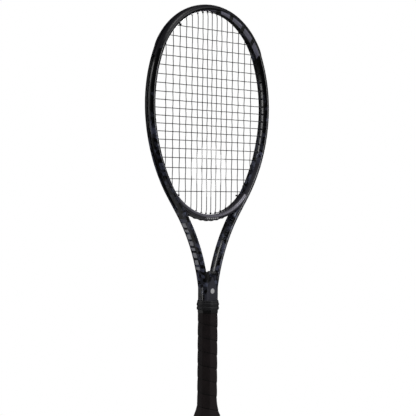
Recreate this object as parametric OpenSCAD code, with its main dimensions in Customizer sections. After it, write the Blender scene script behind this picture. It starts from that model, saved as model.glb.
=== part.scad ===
// Tennis racket, upright. +Z runs from the butt to the head, X is the width of the head,
// and Y is the way the strings face. The origin is the middle of the butt's end face.
// All sizes are in millimetres.
//
// The hoop and both shafts are one bent tube, a hairpin. Its centre line is a chain of
// tangent arcs that starts at the top of the head and goes down the right side. A place on
// it is given by its heading: 0 degrees at the top, 90 where the tube runs straight down.

/* [Racket] */
// Length over all, from the butt's end face to the top of the bumper
racket_length = 685.8; // [680:0.2:840]
// Length of the handle, from the butt to the end of the grip
handle_length = 196; // [165:1:205]

/* [Head] */
// Radius of the hoop's top arc
top_radius = 121.5; // [119:0.5:126]
// Angle of the top arc, from the middle to one end
top_turn = 67; // [66:0.5:68]
// Radius of the side arc
side_radius = 220; // [200:1:235]
// Angle of the side arc
side_turn = 29; // [28:0.5:30]
// Radius of the lower side arc
lower_radius = 258; // [250:1:275]
// Angle of the lower side arc
lower_turn = 30; // [29:0.5:31]
// Distance from the tube's centre line at the top down to the bridge's centre line
head_length = 341.3; // [335:0.1:345]

/* [Tube] */
// Width of the tube in the plane of the strings
tube_width = 11; // [10:0.1:13.2]
// Depth of the tube, front to back
tube_depth = 21; // [19:0.5:23]
// Wall of the tube
tube_wall = 1.5; // [1.2:0.1:1.8]
// Depth of the bridge, front to back
bridge_depth = 19; // [17:0.5:20]
// Radius of the bend that brings each shaft upright
shaft_radius = 285; // [275:5:300]
// Half the distance between the shafts' centre lines in the handle
shaft_half_gap = 7.2; // [7:0.1:7.4]
// Height of the shafts' lower ends
shaft_end = 36; // [36:1:50]
// Height of the crotch under the V
crotch_height = 240; // [235:1:245]

/* [Strings] */
// Diameter of the string
string_d = 1.3; // [1.1:0.05:1.6]
// Number of main strings on each side
mains_per_side = 8; // [8:1:8]
// Distance from the middle to the first main string
first_main = 5.15; // [4.9:0.05:5.4]
// Spacing of the first two main strings
main_pitch = 10.65; // [10.4:0.05:10.8]
// Growth of the spacing from one main string to the next
main_growth = 0.8; // [0.76:0.01:0.88]
// Number of cross strings
cross_count = 19; // [19:1:19]
// Distance from the top of the hoop's centre line down to the middle cross string
middle_cross = 166.6; // [165:0.1:168]
// Spacing of the cross strings in the middle
cross_pitch = 12.5; // [12.3:0.1:12.6]

/* [Grommets] */
// Width of the groove round the outside of the hoop
groove_width = 6; // [5.8:0.1:6.6]
// Depth of the groove
groove_depth = 2.4; // [2.4:0.1:2.6]
// Thickness of the grommet strips
strip_t = 0.8; // [0.7:0.05:0.8]
// Wall of a grommet barrel
barrel_wall = 0.75; // [0.6:0.05:0.85]
// How far the barrels stand out inside the hoop
barrel_out = 2; // [1.5:0.1:2.5]
// How far the bumper stands proud of the tube
bumper_t = 0.9; // [0.8:0.1:1.3]

/* [Handle] */
// Width of the grip across the side flats
grip_width = 34.5; // [34:0.1:42]
// Depth of the grip from front to back
grip_depth = 30.5; // [30:0.1:37]
// How much of each corner the handle's bevels take off
grip_bevel = 9.3; // [9:0.1:9.6]
// Thickness of the grip
grip_t = 1.8; // [1.5:0.1:2.2]
// Thickness of the tape layer under the grip
underwrap_t = 0.3; // [0.2:0.05:0.4]
// Thickness of the finishing tape
tape_t = 0.3; // [0.2:0.05:0.4]
// Width of the finishing tape
tape_width = 14; // [12:1:19]
// Height of the rubber collar
collar_height = 16; // [15:1:20]
// Thickness of the rubber collar
collar_t = 1.7; // [1.5:0.1:2.2]

/* [Butt cap] */
// How far the butt flares out on each side
flare = 5.6; // [4.5:0.1:6.7]
// Height at which the flare begins
flare_top = 38; // [38:1:46]
// Height of the widest part of the butt
flare_bottom = 12; // [11:1:14]
// Height of the cap's exposed rim
rim_height = 9; // [8:0.5:10]
// Height of the top of the cap's skirt
skirt_top = 34; // [33:0.5:35]
// Thickness of the cap's skirt
skirt_t = 1.4; // [1.2:0.1:1.6]
// Thickness of the cap's floor
floor_t = 3; // [2.5:0.1:3.5]
// Width of the trap door
door_width = 19.2; // [17:0.1:20]
// Thickness of the trap door
door_t = 1.8; // [1.5:0.1:1.9]
// Diameter of the door's hinge pin
pin_d = 1.5; // [1.2:0.1:1.6]

/* [Hidden] */

$fn = 64;
arc_fn = 360;        // facets of the long arcs
oval_sides = 20;
station_step = 4.5;  // degrees, most between two sections of a sweep
oval_power = 0.85;   // 1 makes the section an ellipse
glue_gap = 0.05;     // between bonded pieces
seat_gap = 0.3;      // under a string where it bends along the groove
seat_step = 4;       // degrees, most between two bends of a string in the groove
run_gap = 0.3;       // round a piece that moves
pin_clearance = 0.05;
overlap = 1;         // how far a cutting tool runs past what it cuts

// ---- sizes that follow from the ones above ----

top_z = racket_length - bumper_t - tube_width / 2;
lane = string_d / 2 + glue_gap;                    // mains lie in front, crosses behind
tail_lane = 3 * lane;                              // where the end of the mains runs back
groove_floor = tube_width / 2 - groove_depth;      // from the centre line outwards
seat_u = groove_floor + strip_t + string_d / 2 + seat_gap;
tip_u = -(tube_width / 2 + barrel_out);
barrel_r = string_d / 2 + 0.2;                     // inside of a barrel
tie_barrel_r = barrel_r + lane;                    // a tie-off barrel holds two strings
strip_width = groove_width - 0.4;
channel_half = 2 * lane + glue_gap;                 // of the slot that the strings lie in

hoop_arcs = [
    [top_radius, top_turn],
    [side_radius, side_turn],
    [lower_radius, lower_turn]
];

function direction(h) = [sin(h), cos(h)];          // outward, in X and Z, at a heading
function reversed(list) = [for (i = [len(list) - 1 : -1 : 0]) list[i]];
function unit(v) = v / norm(v);

// The hoop's arcs as [centre, radius, first heading, last heading]
function hoop_from(i, centre, h) =
    i == len(hoop_arcs) ? [] :
    let (
        r = hoop_arcs[i][0],
        end = h + hoop_arcs[i][1],
        next_r = i + 1 < len(hoop_arcs) ? hoop_arcs[i + 1][0] : r
    )
    concat([[centre, r, h, end]], hoop_from(i + 1, centre + (r - next_r) * direction(end), end));

hoop = hoop_from(0, [0, top_z - top_radius], 0);
last_arc = hoop[len(hoop) - 1];
lean = last_arc[3];                                // heading of the straight below the hoop
hoop_end = last_arc[0] + last_arc[1] * direction(lean);

// The straight is as long as the bend below it needs to end upright at the shaft's place
straight = (hoop_end.x - shaft_half_gap - shaft_radius * (1 + cos(lean + 90))) / sin(lean - 90);
straight_way = [cos(lean), -sin(lean)];
bend_start = hoop_end + straight * straight_way;
bend_centre = bend_start + shaft_radius * direction(lean);
upright_z = bend_centre.y;
strip_tail = 0.6 * straight;                       // how far the side strips follow the straight

// The bridge is an arc about the racket's own axis, tangent to the lower side arc
bridge_z = top_z - head_length;
drop = last_arc[0].y - bridge_z;
bridge_radius = (last_arc[0].x ^ 2 + drop ^ 2 - last_arc[1] ^ 2) / (2 * (drop - last_arc[1]));
bridge_centre = [0, bridge_z + bridge_radius];
bridge_half_turn = 52;
throat_strip_half_turn = 36;

// ---- where the strings go ----

function main_x(i) = first_main + i * main_pitch + main_growth * i * (i - 1) / 2;

// Crosses are closest in the middle and open out towards both ends, sooner below than above
cross_opening = 0.0275;    // cubic term: the same at both ends
cross_bias = 0.115;        // square term: moves every cross a little upwards
cross_ease = 0.0014;       // fourth power: takes the bias back at the last crosses
function cross_z(j) =
    let (k = (cross_count - 1) / 2 - j)
    top_z - middle_cross + cross_pitch * k
        + cross_opening * k ^ 3 + cross_bias * k ^ 2 - cross_ease * k ^ 4;

function in_arc(arc, h) = h >= arc[2] && h < arc[3];
function arc_at(h) = [for (arc = hoop) if (in_arc(arc, h)) arc][0];
function hoop_point(h, u) = let (arc = arc_at(h)) arc[0] + (arc[1] + u) * direction(h);

// Heading at which the line of barrel tips has a given x, in the upper or the lower half
function heading_at_x(x, lower) = [
    for (arc = hoop)
        let (h = asin(min(1, (x - arc[0].x) / (arc[1] + tip_u))), heading = lower ? 180 - h : h)
            if (in_arc(arc, heading)) heading
][0];
function heading_at_z(z) = [
    for (arc = hoop)
        let (heading = acos(max(-1, min(1, (z - arc[0].y) / (arc[1] + tip_u)))))
            if (in_arc(arc, heading)) heading
][0];

// A hole is [tip, heading, length from the tip to the string's seat], on the right side
function hoop_hole(h) = [hoop_point(h, tip_u), h, seat_u - tip_u];
function bridge_hole(x) =
    let (h = 180 - asin(x / (bridge_radius + tip_u)))
    [bridge_centre + (bridge_radius + tip_u) * direction(h), h, seat_u - tip_u];

// The hole at the bridge's corner goes on through the shaft to the groove outside it
function corner_hole(x) =
    let (
        hole = bridge_hole(x),
        out = direction(lean),
        depth = (hole[0] - hoop_end) * out,
        reach = (seat_u - depth) / (direction(hole[1]) * out)
    )
    [hole[0], hole[1], reach];

corner_main = 5;                                   // counted from 0 at the middle
function top_hole(i) = hoop_hole(heading_at_x(main_x(i), false));
function bottom_hole(i) =
    i < corner_main ? bridge_hole(main_x(i)) :
    i == corner_main ? corner_hole(main_x(i)) : hoop_hole(heading_at_x(main_x(i), true));
function cross_hole(j) = hoop_hole(heading_at_z(cross_z(j)));

main_ids = [0 : mains_per_side - 1];
cross_ids = [0 : cross_count - 1];
bumper_crosses = 4;                                // crosses whose barrels are on the bumper
bumper_end = (cross_hole(bumper_crosses - 1)[1] + cross_hole(bumper_crosses)[1]) / 2;
strip_gap = 0.15;                                  // degrees between the bumper and a side strip
bumper_from = 0.3;                                 // where its skin begins, from the centre line

// Barrels that hold two strings: where the ends of the two pieces of string are tied
function is_tie(kind, i, side) =
    (kind == "bottom" && i == corner_main) ||
    (kind == "bottom" && i == corner_main + 1 && side > 0) ||
    (kind == "top" && i == corner_main && side < 0);
function tie_lane(kind, i) = kind == "bottom" && i == corner_main ? 2 * lane : 0;

// ---- routes of the strings ----

function at(hole, side, y, share) =
    let (p = hole[0] + share * hole[2] * direction(hole[1])) [side * p.x, y, p.y];
function going_out(hole, side, y) = [at(hole, side, y, 0), at(hole, side, y, 1)];
function coming_in(hole, side, y) = [at(hole, side, y, 1), at(hole, side, y, 0)];

// Outside the hoop a string bends along the groove from one hole to the next
function along_groove(from, to, side, y, end_y) =
    let (
        start = min(from[1], lean - 0.1),
        end = min(to[1], lean - 0.1),
        steps = ceil(abs(end - start) / seat_step)
    )
    [
        for (i = [1 : 1 : steps - 1])
            let (share = i / steps, p = hoop_point(start + share * (end - start), seat_u))
                [side * p.x, y + share * (end_y - y), p.y]
    ];

// One half of the mains: in at the bottom, up, over to the next main, and down again
function half_mains(side) = [
    for (i = main_ids)
        let (up = i % 2 == 0, first = up ? bottom_hole(i) : top_hole(i),
            second = up ? top_hole(i) : bottom_hole(i),
            next = up ? top_hole(i + 1) : bottom_hole(i + 1),
            bends = i + 1 < mains_per_side && (up || i >= corner_main))
            each concat(coming_in(first, side, lane), going_out(second, side, lane),
                bends ? along_groove(second, next, side, lane, lane) : [])
];
function main_tail(side) =
    let (last = bottom_hole(mains_per_side - 1), tie = bottom_hole(corner_main))
    concat(along_groove(last, tie, side, lane, tail_lane), coming_in(tie, side, tail_lane));
main_route = concat(
    reversed(main_tail(-1)), reversed(half_mains(-1)), half_mains(1), main_tail(1)
);

// The crosses run from the top left to the bottom right, to and fro
function next_cross(j) = j + 1 < cross_count ? cross_hole(j + 1) : bottom_hole(corner_main + 1);
cross_route = concat(
    going_out(top_hole(corner_main), -1, -lane),
    along_groove(top_hole(corner_main), cross_hole(0), -1, -lane, -lane),
    [
        for (j = cross_ids)
            let (side = j % 2 == 0 ? -1 : 1)
                each concat(coming_in(cross_hole(j), side, -lane), going_out(cross_hole(j), -side, -lane),
                    along_groove(cross_hole(j), next_cross(j), -side, -lane, -lane))
    ],
    coming_in(bottom_hole(corner_main + 1), 1, -lane)
);

// ---- sections and sweeps ----

// An oval a little fuller than an ellipse, as points or as an outline
function fuller(v) = sign(v) * abs(v) ^ oval_power;
function oval_points(w, d, shift = 0) = [
    for (k = [0 : oval_sides - 1])
        let (a = 360 * k / oval_sides)
            [w / 2 * fuller(cos(a)) + shift, d / 2 * fuller(sin(a))]
];
function tube_outside(grow = 0) = oval_points(tube_width + 2 * grow, tube_depth + 2 * grow);

// The hollow lies towards the inside of the hoop, clear of the string groove
function hollow_section(depth, shrink = 0) =
    oval_points(tube_width - groove_depth - 2 * (tube_wall + shrink),
        depth - 2 * (tube_wall + shrink), -groove_depth / 2);

// A station of the centre line is [point, outward direction, heading]. Runs go upwards
function turn(from, to) =
    let (steps = ceil(abs(to - from) / station_step))
    [for (i = [0 : steps]) from + (to - from) * i / steps];
half_hoop = [
    for (arc = reversed(hoop), h = turn(arc[3], arc[2]))
        [arc[0] + arc[1] * direction(h), direction(h), h]
];

// A run that ends between two stations ends on the facets between them, so that every
// piece that follows the tube has the tube's own facets
function on_facet(h) = [
    for (i = [1 : len(half_hoop) - 1])
        let (a = half_hoop[i - 1], b = half_hoop[i])
            if (b[2] < a[2] && b[2] <= h && h <= a[2]) a + (h - a[2]) / (b[2] - a[2]) * (b - a)
][0];
function hoop_run(low, high) =
    concat([on_facet(low)], [for (s = half_hoop) if (s[2] < low && s[2] > high) s], [on_facet(high)]);
function shaft_run(low) = concat(
    [[[shaft_half_gap, low], direction(90), 90]],
    [for (h = turn(90, lean)) [bend_centre - shaft_radius * direction(h), direction(h), h]]
);
function side_run(low, high) = concat(shaft_run(low), hoop_run(lean, high));
function strip_run(tail, high) =
    concat([[hoop_end + tail * straight_way, direction(lean), lean]], hoop_run(lean, high));

// A run on the right, carried on over the top and down the left side
function over_the_top(run) =
    concat(run, [for (s = reversed(run)) [[-s[0].x, s[0].y], [-s[1].x, s[1].y], -s[2]]]);

// Carries a section along the stations, with the section's +X side outwards
module sweep(stations, section) {
    path = [
        for (i = [0 : len(stations) - 1])
            if (i == 0 || norm(stations[i][0] - stations[i - 1][0]) > 0.01) stations[i]
    ];
    n = len(section);
    last = len(path) - 1;
    points = [
        for (s = path, q = section)
            let (p = s[0] + q.x * s[1]) [p.x, q.y, p.y]
    ];
    sides = [
        for (i = [0 : last - 1], k = [0 : n - 1])
            let (a = i * n + k, b = i * n + (k + 1) % n) [a, a + n, b + n, b]
    ];
    ends = [[for (k = [0 : n - 1]) k], [for (k = [n - 1 : -1 : 0]) last * n + k]];
    polyhedron(points, concat(sides, ends));
}

// A flat-sided band that follows the stations, between two distances from the centre line
module band(stations, low_u, high_u, half_v) {
    edges = [
        for (u = [low_u, high_u]) [for (s = stations) s[0] + u * s[1]]
    ];
    rotate([90, 0, 0])
        linear_extrude(2 * half_v, center = true) polygon(concat(edges[0], reversed(edges[1])));
}

// Carries an outline along a true arc, with its +X side outwards
module sweep_arc(centre, radius, from, to) {
    translate([centre.x, 0, centre.y])
        rotate([90, 0, 0])
            rotate_extrude(angle = to - from, start = 90 - to, $fn = arc_fn)
                translate([radius, 0]) children();
}

module both_sides() {
    children();
    mirror([1, 0, 0]) children();
}

// What both shafts take out of the pieces that are bonded to them
module shaft_space(low, high) {
    both_sides() sweep(side_run(low, high), tube_outside(glue_gap));
}

// ---- holes and barrels ----

// Puts children at a hole's tip, with +Z along the hole towards the outside
module on_hole(hole, side, y) {
    translate([side * hole[0].x, y, hole[0].y]) rotate([0, side * hole[1], 0]) children();
}

module hole_at(kind, i, side, y, r) {
    hole = kind == "top" ? top_hole(i) : kind == "bottom" ? bottom_hole(i) : cross_hole(i);
    tie = is_tie(kind, i, side);
    on_hole(hole, side, tie ? tie_lane(kind, i) : y)
        translate([0, 0, -overlap])
            cylinder(r = tie ? r + lane : r, h = hole[2] + 3 * overlap);
}

module barrel_at(kind, i, side, y) {
    hole = kind == "top" ? top_hole(i) : kind == "bottom" ? bottom_hole(i) : cross_hole(i);
    tie = is_tie(kind, i, side);
    length = hole[2] - string_d / 2 - glue_gap - strip_t / 2;
    on_hole(hole, side, tie ? tie_lane(kind, i) : y)
        cylinder(r = (tie ? tie_barrel_r : barrel_r) + barrel_wall, h = length);
}

drill_r = barrel_r + barrel_wall + glue_gap;

module main_drills(kind, ids) {
    for (i = ids, side = [-1, 1]) hole_at(kind, i, side, lane, drill_r);
}

module cross_drills(ids) {
    for (j = ids, side = [-1, 1]) hole_at("cross", j, side, -lane, drill_r);
}

// ---- frame ----

module frame_tube() {
    color("#17171c") difference() {
        sweep(over_the_top(side_run(shaft_end, 0)), tube_outside());
        sweep(over_the_top(side_run(shaft_end - overlap, 0)), hollow_section(tube_depth));
        band(over_the_top(strip_run(strip_tail + overlap, 0)), groove_floor, tube_width,
            groove_width / 2);
        main_drills("top", main_ids);
        main_drills("bottom", [corner_main - 1 : mains_per_side - 1]);
        cross_drills(cross_ids);
    }
}

module sweep_bridge() {
    sweep_arc(bridge_centre, bridge_radius, 180 - bridge_half_turn, 180 + bridge_half_turn)
        children();
}

module throat_bridge() {
    color("#3a3a40") difference() {
        sweep_bridge() polygon(oval_points(tube_width, bridge_depth));
        shaft_space(upright_z, last_arc[2]);
        sweep_bridge() polygon(hollow_section(bridge_depth));
        sweep_bridge() translate([groove_floor, -groove_width / 2]) square([tube_width, groove_width]);
        main_drills("bottom", [0 : corner_main]);
        cross_drills([cross_count - 1]);
    }
}

// Laminate that fills the V between the shafts and blends them into the handle
module crotch_web() {
    web_w = grip_width - 2;
    web_d = tube_depth + 0.6;
    corner = 7;
    notch_r = 9;
    color("#17171c") difference() {
        translate([0, 0, handle_length + glue_gap])
            linear_extrude(crotch_height + notch_r - handle_length - glue_gap)
                rounded(web_w, web_d, corner);
        translate([0, 0, crotch_height + notch_r])
            rotate([90, 0, 0]) cylinder(r = notch_r, h = 2 * web_d, center = true);
        shaft_space(shaft_end, lean - 1);
    }
}

module rounded(w, d, r) {
    square([w - 2 * r, d], center = true);
    square([w, d - 2 * r], center = true);
    for (x = [-1, 1], y = [-1, 1])
        translate([x * (w / 2 - r), y * (d / 2 - r)]) circle(r);
}

// ---- grommets ----

// The bumper hugs the outer half of the tube, and fills the groove but for the strings' channel
module bumper_body() {
    piece = over_the_top(hoop_run(bumper_end, 0));
    tool = over_the_top(hoop_run(bumper_end + 1, 0));
    difference() {
        union() {
            difference() {
                sweep(piece, tube_outside(bumper_t));
                sweep(tool, tube_outside(glue_gap));
                band(tool, -2 * tube_width, bumper_from, tube_depth);
            }
            band(piece, groove_floor + glue_gap, (tube_width + bumper_t) / 2, strip_width / 2);
        }
        band(tool, groove_floor + strip_t, 2 * tube_width, channel_half);
    }
}

module bumper_guard() {
    color("#2b2a33") difference() {
        union() {
            bumper_body();
            for (i = main_ids, side = [-1, 1]) barrel_at("top", i, side, lane);
            for (j = [0 : bumper_crosses - 1], side = [-1, 1]) barrel_at("cross", j, side, -lane);
        }
        for (i = main_ids, side = [-1, 1]) hole_at("top", i, side, lane, barrel_r);
        for (j = [0 : bumper_crosses - 1], side = [-1, 1]) hole_at("cross", j, side, -lane, barrel_r);
    }
}

module side_grommet_strip(side) {
    color("#101013") difference() {
        union() {
            mirror([side < 0 ? 1 : 0, 0, 0])
                band(strip_run(strip_tail, bumper_end + strip_gap),
                    groove_floor + glue_gap, groove_floor + strip_t, strip_width / 2);
            for (j = [bumper_crosses : cross_count - 1]) barrel_at("cross", j, side, -lane);
            for (i = [corner_main : mains_per_side - 1]) barrel_at("bottom", i, side, lane);
        }
        for (j = [bumper_crosses : cross_count - 1]) hole_at("cross", j, side, -lane, barrel_r);
        for (i = [corner_main : mains_per_side - 1]) hole_at("bottom", i, side, lane, barrel_r);
    }
}

module left_grommet_strip() {
    side_grommet_strip(-1);
}

module right_grommet_strip() {
    side_grommet_strip(1);
}

module throat_grommet_strip() {
    color("#101013") difference() {
        union() {
            sweep_arc(bridge_centre, bridge_radius,
                180 - throat_strip_half_turn, 180 + throat_strip_half_turn)
                translate([groove_floor + glue_gap, -strip_width / 2])
                    square([strip_t - glue_gap, strip_width]);
            for (i = [0 : corner_main - 1], side = [-1, 1]) barrel_at("bottom", i, side, lane);
        }
        for (i = [0 : corner_main - 1], side = [-1, 1]) hole_at("bottom", i, side, lane, barrel_r);
        shaft_space(upright_z, last_arc[2]);
    }
}

// ---- strings ----

string_sides = 8;

// The ring of points at one corner of a route, in the plane that halves the corner
function string_ring(p, before, after) =
    let (
        along = unit(before + after),
        stretch = 1 / sqrt((1 + before * after) / 2),
        v = unit([0, 1, 0] - along.y * along),
        u = cross(v, along)
    )
    [for (k = [0 : string_sides - 1]) p + string_d / 2
        * (stretch * cos(360 * k / string_sides) * u + sin(360 * k / string_sides) * v)];

module string(route) {
    last = len(route) - 1;
    legs = [for (i = [0 : last - 1]) unit(route[i + 1] - route[i])];
    points = [for (i = [0 : last]) each
        string_ring(route[i], legs[max(i - 1, 0)], legs[min(i, last - 1)])];
    sides = [for (i = [0 : last - 1], k = [0 : string_sides - 1])
        let (a = i * string_sides + k, b = i * string_sides + (k + 1) % string_sides)
            [a, b, b + string_sides, a + string_sides]];
    ends = [
        [for (k = [string_sides - 1 : -1 : 0]) k],
        [for (k = [0 : string_sides - 1]) last * string_sides + k]
    ];
    polyhedron(points, concat(sides, ends));
}

module main_string() {
    color("#1a1a1c") string(main_route);
}

module cross_string() {
    color("#1a1a1c") string(cross_route);
}

// A knot is a bead that grips a main string just inside its tie-off barrel
knot_r = 2;
knot_h = 2.6;
knot_gap = 0.45;

module knot(hole, side, y, up) {
    rise = knot_gap + (tie_barrel_r + barrel_wall) * abs(sin(hole[1]));
    translate([side * hole[0].x, 0, hole[0].y + (up ? rise : -rise - knot_h)])
        difference() {
            translate([0, y, 0]) cylinder(r = knot_r, h = knot_h);
            translate([0, lane, -overlap])
                cylinder(r = string_d / 2 + glue_gap, h = knot_h + 2 * overlap);
        }
}

module main_knots() {
    color("#1a1a1c") for (side = [-1, 1])
        knot(bottom_hole(corner_main), side, 2 * lane, true);
}

module cross_knots() {
    color("#1a1a1c") {
        knot(top_hole(corner_main), -1, 0, false);
        knot(bottom_hole(corner_main + 1), 1, 0, true);
    }
}

// ---- handle ----

// The handle's eight-sided outline, moved in by a given amount on every side
function handle_points(inset) =
    let (
        x = grip_width / 2 - inset,
        y = grip_depth / 2 - inset,
        cut = grip_bevel - (2 - sqrt(2)) * inset
    )
    [
        [x, cut - y], [x, y - cut], [x - cut, y], [cut - x, y],
        [-x, y - cut], [-x, cut - y], [cut - x, -y], [x - cut, -y]
    ];
module handle_outline(inset) {
    polygon(handle_points(inset));
}

// The handle's outline carried through a list of [height, inset]
module handle_loft(levels) {
    last = len(levels) - 1;
    points = [for (level = levels, q = handle_points(level[1])) [q.x, q.y, level[0]]];
    sides = [
        for (i = [0 : last - 1], k = [0 : 7])
            let (a = i * 8 + k, b = i * 8 + (k + 1) % 8) [a, a + 8, b + 8, b]
    ];
    polyhedron(points, concat(sides, [[for (k = [0 : 7]) k], [for (k = [7 : -1 : 0]) last * 8 + k]]));
}

// The butt flares out along an arc that is tangent to the handle
function flare_out(z) =
    let (
        h = flare_top - flare_bottom,
        r = (h ^ 2 + flare ^ 2) / (2 * flare),
        down = min(h, max(0, flare_top - z))
    )
    r - sqrt(r ^ 2 - down ^ 2);
flare_steps = 6;
flare_levels = [
    for (i = [0 : flare_steps]) flare_bottom + (flare_top - flare_bottom) * i / flare_steps
];

module flared_handle(inset, low, high) {
    heights = concat([low], [for (z = flare_levels) if (z > low && z < high) z], [high]);
    handle_loft([for (z = heights) [z, inset - flare_out(z)]]);
}

pallet_inset = grip_t + underwrap_t;
pallet_top = handle_length - 4;
pallet_low = flare_bottom;
cavity_w = 16;
cavity_d = 14;

// Half of the moulded handle, cut to the shafts and rebated for the cap's skirt
module pallet(side) {
    difference() {
        union() {
            translate([0, 0, skirt_top + glue_gap])
                linear_extrude(pallet_top - skirt_top - glue_gap) handle_outline(pallet_inset);
            translate([0, 0, pallet_low])
                linear_extrude(skirt_top + glue_gap - pallet_low)
                    handle_outline(grip_t + skirt_t);
        }
        shaft_space(shaft_end, lean - 1);
        translate([0, 0, pallet_low - overlap])
            linear_extrude(shaft_end - pallet_low) rounded(cavity_w, cavity_d, 3);
        translate([0, -side * (grip_depth - glue_gap / 2), racket_length / 2])
            cube([2 * grip_width, 2 * grip_depth, 2 * racket_length], center = true);
        tacks(glue_gap);
    }
}

module front_pallet() {
    color("#c9c2ae") pallet(-1);
}

module back_pallet() {
    color("#c9c2ae") pallet(1);
}

plug_length = 30;

module shaft_plugs() {
    color("#d8d2c4") both_sides()
        translate([shaft_half_gap, 0, shaft_end])
            linear_extrude(plug_length) polygon(hollow_section(tube_depth, glue_gap));
}

module underwrap() {
    color("#8a8578") translate([0, 0, flare_top + glue_gap])
        linear_extrude(pallet_top - flare_top - glue_gap) difference() {
            handle_outline(grip_t + glue_gap);
            handle_outline(pallet_inset - glue_gap / 2);
        }
}

tape_low = handle_length - tape_width;
tape_press = 0.2;

// The tape presses the end of the grip in, so the grip's long flats stop below it
module base_grip() {
    color("#231f20") difference() {
        union() {
            flared_handle(0, rim_height + glue_gap, tape_low);
            translate([0, 0, tape_low - overlap])
                linear_extrude(tape_width + overlap) handle_outline(tape_press);
        }
        flared_handle(grip_t, 0, handle_length + overlap);
    }
}

module finishing_tape() {
    color("#111113") translate([0, 0, tape_low + glue_gap])
        linear_extrude(tape_width - glue_gap) difference() {
            handle_outline(tape_press - tape_t - glue_gap);
            handle_outline(tape_press - glue_gap);
        }
}

collar_low = handle_length + 6.5 - collar_height;

// Stretched over the end of the grip below, and over the shafts' web above
module grip_collar() {
    outside = -(tape_t + collar_t);
    lip_low = handle_length + glue_gap;
    ridges = [[0, 0.28, 0], [0.28, 0.4, 0.6], [0.4, 0.72, 0], [0.72, 0.86, 0.8], [0.86, 1, 1.5]];
    color("#151517") difference() {
        for (ridge = ridges)
            translate([0, 0, collar_low + ridge[0] * collar_height])
                linear_extrude((ridge[1] - ridge[0]) * collar_height)
                    handle_outline(outside + ridge[2]);
        translate([0, 0, collar_low - overlap])
            linear_extrude(lip_low - collar_low + overlap)
                handle_outline(tape_press - tape_t - 2 * glue_gap);
        translate([0, 0, lip_low - overlap])
            linear_extrude(collar_height)
                rounded(grip_width - 2 + 2 * glue_gap, tube_depth + 0.6 + 2 * glue_gap, 7 + glue_gap);
    }
}

// ---- butt cap and trap door ----

hinge_y = 9;
hinge_z = 1.9;
knuckle_r = 1.6;
knuckle_w = 9.4;
door_low_y = -10.7;
door_high_y = 6.2;
lug_y = [7.2, 10.8];
lug_z = [0.6, floor_t + 1];
opening_half = door_width / 2 + run_gap;
rim_round = 2.5;

// The rim's lower edge is rounded off
module cap_rim() {
    corner = [
        for (a = [0 : 22.5 : 90]) [rim_round * (1 - cos(a)), rim_round * (1 - sin(a)) - flare]
    ];
    handle_loft(concat(corner, [[rim_height, -flare]]));
}

module door_opening() {
    y_high = hinge_y + knuckle_r + 2 * run_gap;
    translate([-opening_half, door_low_y - run_gap, -overlap])
        cube([2 * opening_half, y_high - door_low_y + run_gap, floor_t + 2 * overlap]);
}

module hinge_rod(r, length) {
    translate([0, hinge_y, hinge_z]) rotate([0, 90, 0]) cylinder(r = r, h = length, center = true);
}

module hinge_lugs() {
    for (side = [-1, 1])
        translate([side > 0 ? knuckle_w / 2 + run_gap : -opening_half - overlap, lug_y[0], lug_z[0]])
            cube([opening_half + overlap - knuckle_w / 2 - run_gap,
                lug_y[1] - lug_y[0], lug_z[1] - lug_z[0]]);
}

module butt_cap() {
    color("#0e0e10") difference() {
        union() {
            difference() {
                union() {
                    cap_rim();
                    flared_handle(grip_t + glue_gap, rim_height - overlap, skirt_top);
                }
                translate([0, 0, pallet_low - glue_gap])
                    linear_extrude(racket_length) handle_outline(grip_t + skirt_t - glue_gap);
                translate([0, 0, floor_t])
                    linear_extrude(pallet_low) rounded(2 * opening_half + 2, 2 * (lug_y[1] + 1.2), 3);
                door_opening();
            }
            hinge_lugs();
        }
        hinge_rod(pin_d / 2 + 0.01, 2 * opening_half);
        tacks(glue_gap);
    }
}

tack_z = 28;
tack_head_r = 2;
tack_head_t = 0.6;
tack_r = 0.65;
tack_length = 6;
tack_out = grip_width / 2 - grip_t - 0.2;

// A tack through the skirt on each side; grow widens it to the hole that it needs
module tacks(grow) {
    head = grow > 0 ? 3 : tack_head_t;
    for (side = [-1, 1])
        translate([side * tack_out, 0, tack_z]) rotate([0, side * 90, 0]) {
            translate([0, 0, -tack_head_t - grow]) cylinder(r = tack_head_r + grow, h = head + grow);
            translate([0, 0, -tack_length - grow]) cylinder(r = tack_r + grow, h = tack_length + grow);
        }
}

module cap_tacks() {
    color("#b8b8bc") tacks(0);
}

module trap_door() {
    color("#1d1d21") difference() {
        union() {
            translate([-door_width / 2, door_low_y, 0])
                cube([door_width, door_high_y - door_low_y, door_t]);
            translate([-knuckle_w / 2, door_high_y - overlap, 0])
                cube([knuckle_w, hinge_y - door_high_y + overlap, door_t]);
            hinge_rod(knuckle_r, knuckle_w);
        }
        hinge_rod(pin_d / 2 + pin_clearance, knuckle_w + 2 * overlap);
        translate([0, door_low_y, 0])
            rotate([0, 90, 0]) cylinder(r = 0.9, h = 6, center = true);
    }
}

module door_pin() {
    color("#c4c4c8") hinge_rod(pin_d / 2, 2 * opening_half - 2 * glue_gap);
}

frame_tube();
throat_bridge();
crotch_web();
bumper_guard();
left_grommet_strip();
right_grommet_strip();
throat_grommet_strip();
main_string();
cross_string();
main_knots();
cross_knots();
front_pallet();
back_pallet();
shaft_plugs();
underwrap();
base_grip();
finishing_tape();
grip_collar();
butt_cap();
cap_tacks();
trap_door();
door_pin();
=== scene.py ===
import math

import bpy
import numpy as np
from mathutils import Matrix, Vector


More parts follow.
